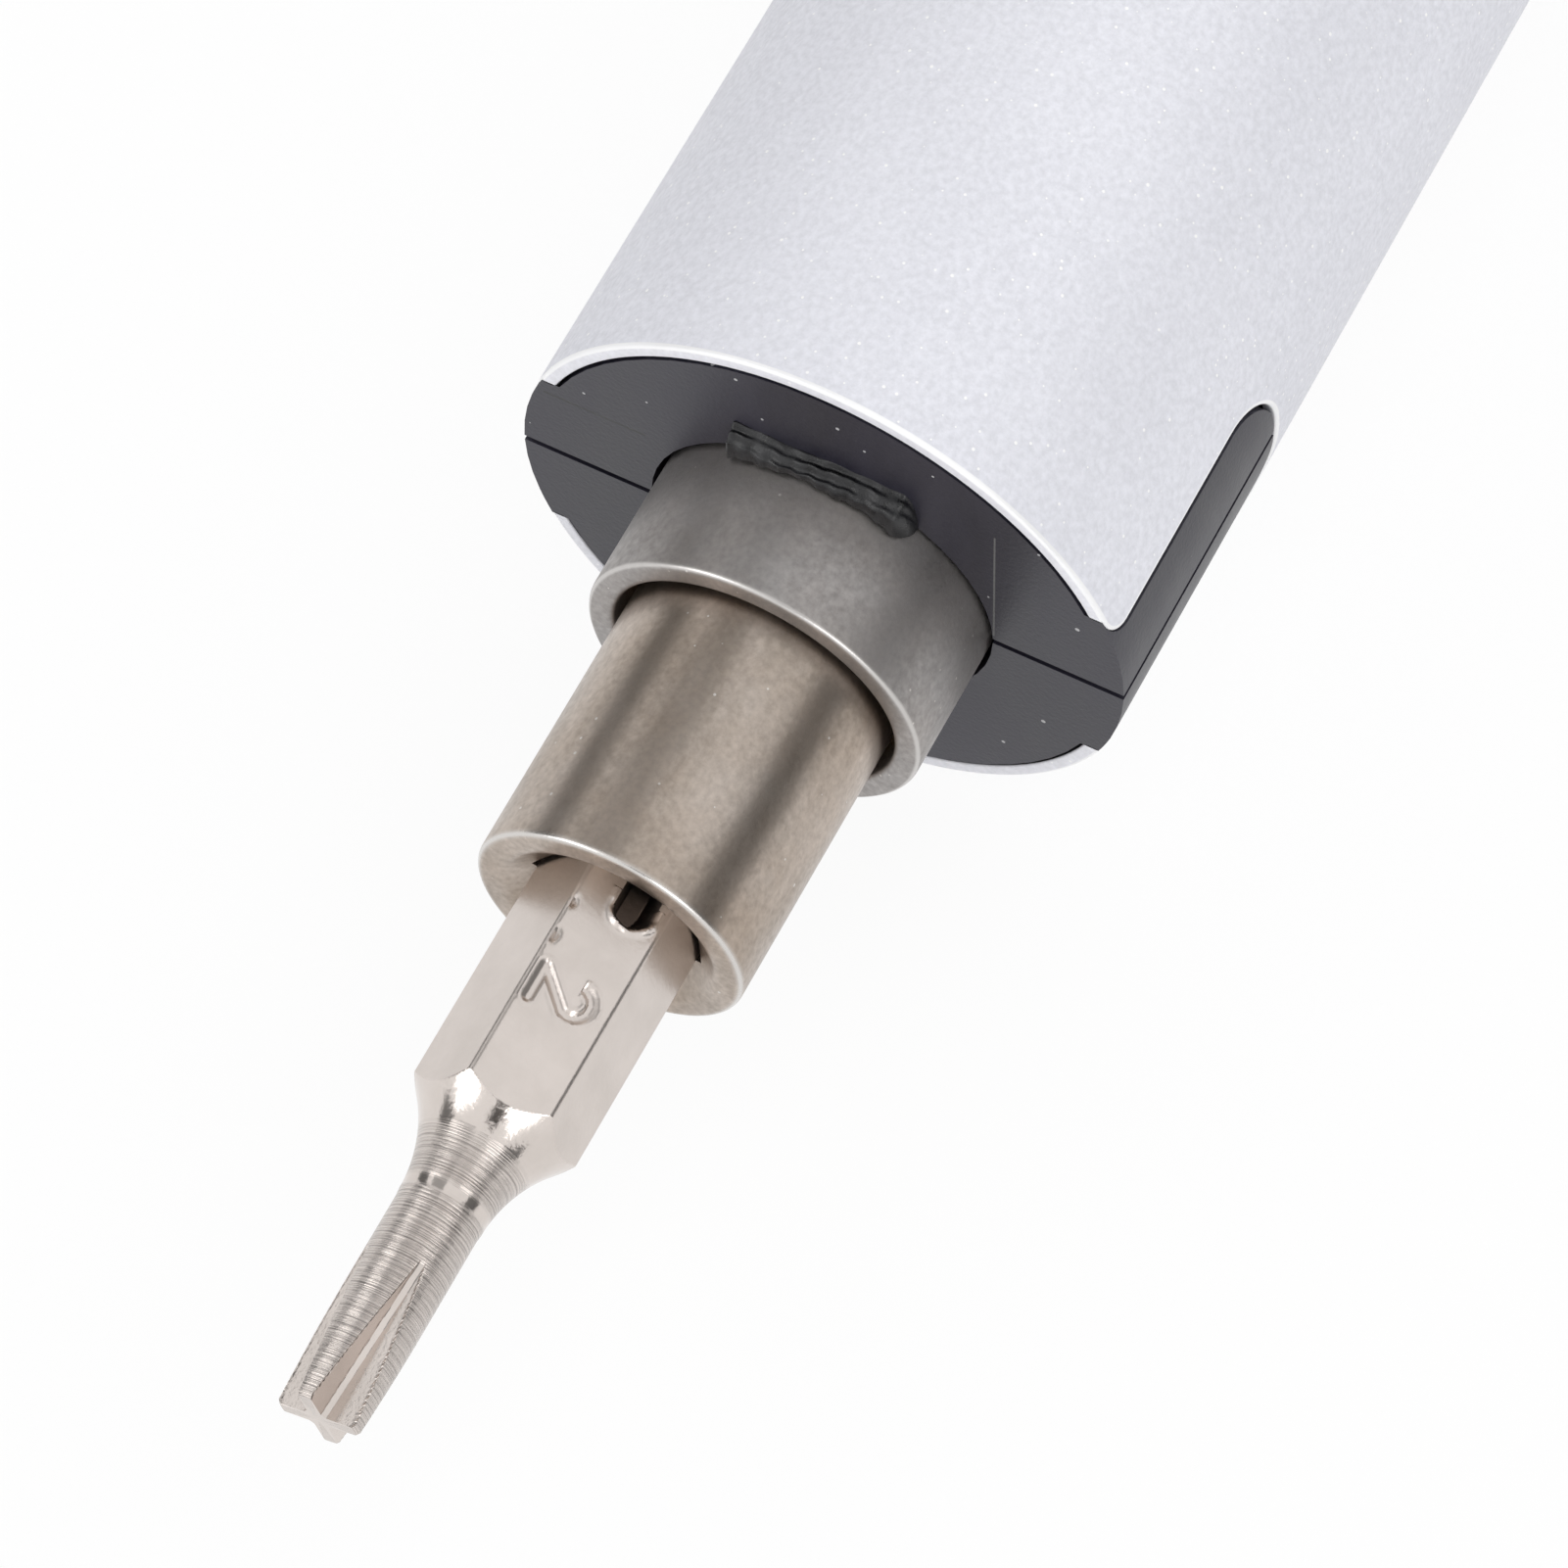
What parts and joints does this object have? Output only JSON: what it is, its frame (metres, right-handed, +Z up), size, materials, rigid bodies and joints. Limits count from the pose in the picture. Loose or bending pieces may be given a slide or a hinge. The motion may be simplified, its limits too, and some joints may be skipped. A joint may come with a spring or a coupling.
{
  "type": "electric screwdriver",
  "caption": "Pen-shaped cordless electric screwdriver with a slotted metal barrel, split plastic nose, steel sleeve, geared spindle, hex socket and small cross-point bit.",
  "frame": {"origin": "on the spindle axis at the mouth of the bit socket", "axes": "+X along the spindle towards the bit, +Z up through the keys, +Y to the side; the tool lies on its barrel"},
  "size_m": [0.1467, 0.017, 0.017],
  "materials": {
    "anodised": "bead-blasted, silver anodised",
    "chassis": "satin moulded",
    "keys": "satin moulded",
    "sintered_steel": "tumbled",
    "bit_steel": "satin nickel plate",
    "bronze": "sintered, oiled",
    "bearing_steel": "ground",
    "cage": "pressed",
    "gear_steel": "cut",
    "pin_steel": "ground",
    "gearbox": "sintered",
    "screws": "black oxide",
    "magnet": "nickel plate",
    "motor_can": "zinc plate",
    "ferrite": "sintered",
    "laminations": "stamped",
    "copper": "enamelled wire and bare copper",
    "end_cap": "moulded",
    "contacts": "spring brass",
    "cell_wrap": "shrink wrap",
    "nickel": "nickel strip",
    "board": "solder mask",
    "chips": "moulded",
    "plungers": "moulded",
    "usb": "stamped",
    "light": "clear"
  },
  "bodies": {
    "housing": {"barrel": "anodised", "upper_chassis": "chassis", "lower_chassis": "chassis", "tail_cap": "chassis", "nose_sleeve": "sintered_steel", "front_bush": "bronze", "motor_bushes": "bronze", "bearing_outer_race": "bearing_steel", "ring_gear": "gearbox", "gearbox_cover": "gearbox", "gearbox_back_plate": "gearbox", "motor_screws": "screws", "tail_screws": "screws", "motor_can": "motor_can", "motor_magnets": "ferrite", "motor_end_cap": "end_cap", "motor_brushes": "contacts", "motor_terminals": "contacts", "battery_cell": "cell_wrap", "battery_tabs": "nickel", "control_board": "board", "board_chips": "chips", "forward_switch": "chips", "reverse_switch": "chips", "usb_tongue": "chips", "usb_shell": "usb", "charge_light": "light", "light_pipe": "light"},
    "spindle": {"spindle": "sintered_steel", "bit_magnet": "magnet", "bearing_inner_race": "bearing_steel", "output_carrier": "gear_steel", "output_pins": "pin_steel"},
    "bearing_cage": {"bearing_cage": "cage", "bearing_balls": "bearing_steel"},
    "driver_bit": {"driver_bit": "bit_steel"},
    "output_planet_a": {"output_planet_a": "gear_steel"},
    "output_planet_b": {"output_planet_b": "gear_steel"},
    "output_planet_c": {"output_planet_c": "gear_steel"},
    "first_carrier": {"first_carrier": "gear_steel", "first_pins": "pin_steel"},
    "first_planet_a": {"first_planet_a": "gear_steel"},
    "first_planet_b": {"first_planet_b": "gear_steel"},
    "first_planet_c": {"first_planet_c": "gear_steel"},
    "rotor": {"motor_shaft": "pin_steel", "motor_pinion": "gear_steel", "rotor_core": "laminations", "rotor_windings": "copper", "commutator": "copper"},
    "forward_key": {"forward_key": "keys", "forward_plunger": "plungers"},
    "reverse_key": {"reverse_key": "keys", "reverse_plunger": "plungers"}
  },
  "joints": [
    {"name": "spindle_spin", "type": "hinge", "parent": "housing", "child": "spindle", "pos_m": [0, 0, 0], "axis": [1, 0, 0], "continuous": true},
    {"name": "cage_spin", "type": "hinge", "parent": "housing", "child": "bearing_cage", "pos_m": [0, 0, 0], "axis": [1, 0, 0], "continuous": true},
    {"name": "output_planet_a_spin", "type": "hinge", "parent": "spindle", "child": "output_planet_a", "pos_m": [0, 0.00375, 0], "axis": [1, 0, 0], "continuous": true},
    {"name": "output_planet_b_spin", "type": "hinge", "parent": "spindle", "child": "output_planet_b", "pos_m": [0, -0.00187, 0.00325], "axis": [1, 0, 0], "continuous": true},
    {"name": "output_planet_c_spin", "type": "hinge", "parent": "spindle", "child": "output_planet_c", "pos_m": [0, -0.00187, -0.00325], "axis": [1, 0, 0], "continuous": true},
    {"name": "first_carrier_spin", "type": "hinge", "parent": "housing", "child": "first_carrier", "pos_m": [0, 0, 0], "axis": [1, 0, 0], "continuous": true},
    {"name": "first_planet_a_spin", "type": "hinge", "parent": "first_carrier", "child": "first_planet_a", "pos_m": [0, 0.00375, 0], "axis": [1, 0, 0], "continuous": true},
    {"name": "first_planet_b_spin", "type": "hinge", "parent": "first_carrier", "child": "first_planet_b", "pos_m": [0, -0.00187, 0.00325], "axis": [1, 0, 0], "continuous": true},
    {"name": "first_planet_c_spin", "type": "hinge", "parent": "first_carrier", "child": "first_planet_c", "pos_m": [0, -0.00187, -0.00325], "axis": [1, 0, 0], "continuous": true},
    {"name": "rotor_spin", "type": "hinge", "parent": "housing", "child": "rotor", "pos_m": [0, 0, 0], "axis": [1, 0, 0], "continuous": true},
    {"name": "bit_slide", "type": "slide", "parent": "spindle", "child": "driver_bit", "axis": [1, 0, 0], "range_m": [0, 0.016]},
    {"name": "forward_press", "type": "slide", "parent": "housing", "child": "forward_key", "axis": [0, 0, -1], "range_m": [0, 0.0003], "stiffness_N_per_m": 400},
    {"name": "reverse_press", "type": "slide", "parent": "housing", "child": "reverse_key", "axis": [0, 0, -1], "range_m": [0, 0.0003], "stiffness_N_per_m": 400}
  ],
  "couplings": [
    {"joint": "cage_spin", "follows": "spindle_spin", "ratio": 0.43846},
    {"joint": "output_planet_a_spin", "follows": "spindle_spin", "ratio": -2.6667},
    {"joint": "output_planet_b_spin", "follows": "spindle_spin", "ratio": -2.6667},
    {"joint": "output_planet_c_spin", "follows": "spindle_spin", "ratio": -2.6667},
    {"joint": "first_carrier_spin", "follows": "spindle_spin", "ratio": 5},
    {"joint": "first_planet_a_spin", "follows": "spindle_spin", "ratio": -13.333},
    {"joint": "first_planet_b_spin", "follows": "spindle_spin", "ratio": -13.333},
    {"joint": "first_planet_c_spin", "follows": "spindle_spin", "ratio": -13.333},
    {"joint": "rotor_spin", "follows": "spindle_spin", "ratio": 25}
  ]
}
